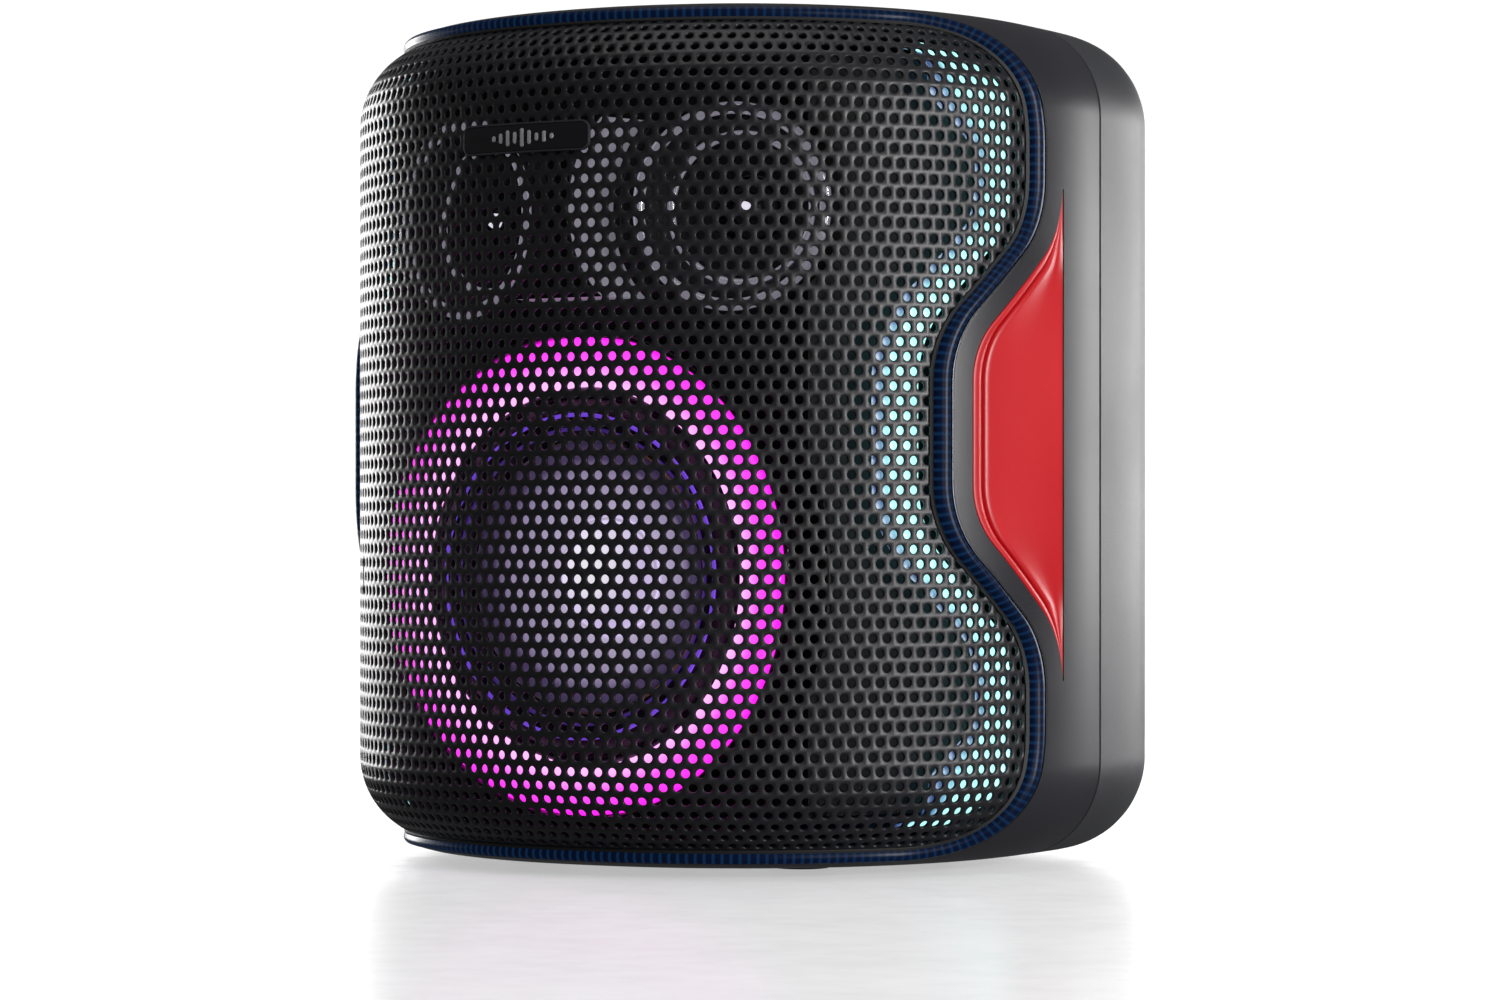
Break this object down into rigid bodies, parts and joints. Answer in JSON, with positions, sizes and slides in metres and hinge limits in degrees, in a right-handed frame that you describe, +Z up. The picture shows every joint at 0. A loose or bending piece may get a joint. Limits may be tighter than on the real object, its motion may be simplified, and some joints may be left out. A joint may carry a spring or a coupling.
{
  "type": "portable party speaker",
  "caption": "Rounded upright speaker with a curved perforated front, lit woofer ring, two toed-out tweeters, red side inserts, top buttons and a covered rear socket bay.",
  "frame": {"origin": "on the floor, under the middle of the bounding box", "axes": "+X to the right as seen by someone facing the front; +Y from front to back, so the front faces -Y; +Z up"},
  "size_m": [0.3168, 0.2608, 0.3335],
  "materials": {
    "case_plastic": "satin",
    "rear_plastic": "satin, finely textured",
    "grille_metal": "black satin paint on perforated sheet",
    "guide_plastic": "dark blue translucent gloss",
    "insert_plastic": "red, satin to gloss",
    "gloss_black": "gloss",
    "side_light": "milky diffuser, lit cyan-white",
    "ring_light": "milky diffuser, lit magenta",
    "baffle_board": "matte",
    "basket_steel": "satin",
    "cone_metal": "satin",
    "soft_rubber": "matte",
    "spider_cloth": "impregnated cloth",
    "coil_copper": "wound wire",
    "horn_plastic": "satin",
    "dome_metal": "polished",
    "centre_bar_plastic": "satin",
    "button_rubber": "satin",
    "circuit_board": "solder mask",
    "battery_wrap": "shrink wrap",
    "heat_sink_alloy": "extruded",
    "socket_plastic": "matte",
    "plated_steel": "zinc plated",
    "foot_rubber": "matte"
  },
  "bodies": {
    "case": {"ac_inlet": "socket_plastic", "amplifier_heat_sink": "heat_sink_alloy", "badge_plate": "gloss_black", "baffle": "baffle_board", "bass_port": "socket_plastic", "battery_pack": "battery_wrap", "button_board": "circuit_board", "carry_grip": "socket_plastic", "case_screw_1": "plated_steel", "case_screw_2": "plated_steel", "case_screw_3": "plated_steel", "case_screw_4": "plated_steel", "centre_bar": "centre_bar_plastic", "control_panel": "gloss_black", "foot_1": "foot_rubber", "foot_2": "foot_rubber", "foot_3": "foot_rubber", "foot_4": "foot_rubber", "front_shell": "case_plastic", "grille": "grille_metal", "jack_bay": "socket_plastic", "light_guide": "guide_plastic", "line_in_jack": "socket_plastic", "main_board": "circuit_board", "mic_jack_1": "socket_plastic", "mic_jack_2": "socket_plastic", "power_supply": "circuit_board", "rear_shell": "rear_plastic", "side_insert_left": "insert_plastic", "side_insert_right": "insert_plastic", "side_light_bar_left": "side_light", "side_light_bar_right": "side_light", "tweeter_dome_left": "dome_metal", "tweeter_dome_right": "dome_metal", "tweeter_horn_left": "horn_plastic", "tweeter_horn_right": "horn_plastic", "tweeter_magnet_left": "basket_steel", "tweeter_magnet_right": "basket_steel", "usb_port": "plated_steel", "woofer_basket": "basket_steel", "woofer_light_ring": "ring_light", "woofer_magnet": "basket_steel", "woofer_spider": "spider_cloth", "woofer_surround": "soft_rubber"},
    "woofer_cone": {"woofer_cone": "cone_metal", "woofer_dust_cap": "cone_metal", "woofer_voice_coil": "coil_copper"},
    "port_cover": {"port_cover": "soft_rubber"},
    "button_light": {"button_light": "button_rubber"},
    "button_next": {"button_next": "button_rubber"},
    "button_play": {"button_play": "button_rubber"},
    "button_power": {"button_power": "button_rubber"},
    "button_previous": {"button_previous": "button_rubber"},
    "button_volume_down": {"button_volume_down": "button_rubber"},
    "button_volume_up": {"button_volume_up": "button_rubber"}
  },
  "joints": [
    {"name": "button_light_press", "type": "slide", "parent": "case", "child": "button_light", "axis": [0, 0, -1], "range_m": [0, 0.0012], "stiffness_N_per_m": 600},
    {"name": "button_next_press", "type": "slide", "parent": "case", "child": "button_next", "axis": [0, 0, -1], "range_m": [0, 0.0012], "stiffness_N_per_m": 600},
    {"name": "button_play_press", "type": "slide", "parent": "case", "child": "button_play", "axis": [0, 0, -1], "range_m": [0, 0.0012], "stiffness_N_per_m": 600},
    {"name": "button_power_press", "type": "slide", "parent": "case", "child": "button_power", "axis": [0, 0, -1], "range_m": [0, 0.0012], "stiffness_N_per_m": 600},
    {"name": "button_previous_press", "type": "slide", "parent": "case", "child": "button_previous", "axis": [0, 0, -1], "range_m": [0, 0.0012], "stiffness_N_per_m": 600},
    {"name": "button_volume_down_press", "type": "slide", "parent": "case", "child": "button_volume_down", "axis": [0, 0, -1], "range_m": [0, 0.0012], "stiffness_N_per_m": 600},
    {"name": "button_volume_up_press", "type": "slide", "parent": "case", "child": "button_volume_up", "axis": [0, 0, -1], "range_m": [0, 0.0012], "stiffness_N_per_m": 600},
    {"name": "port_cover_hinge", "type": "hinge", "parent": "case", "child": "port_cover", "pos_m": [0, 0.127, 0.0586], "axis": [-1, 0, 0], "range_deg": [0, 90]},
    {"name": "woofer_cone_travel", "type": "slide", "parent": "case", "child": "woofer_cone", "axis": [0, -1, 0], "range_m": [-0.003, 0.003], "stiffness_N_per_m": 2500}
  ]
}
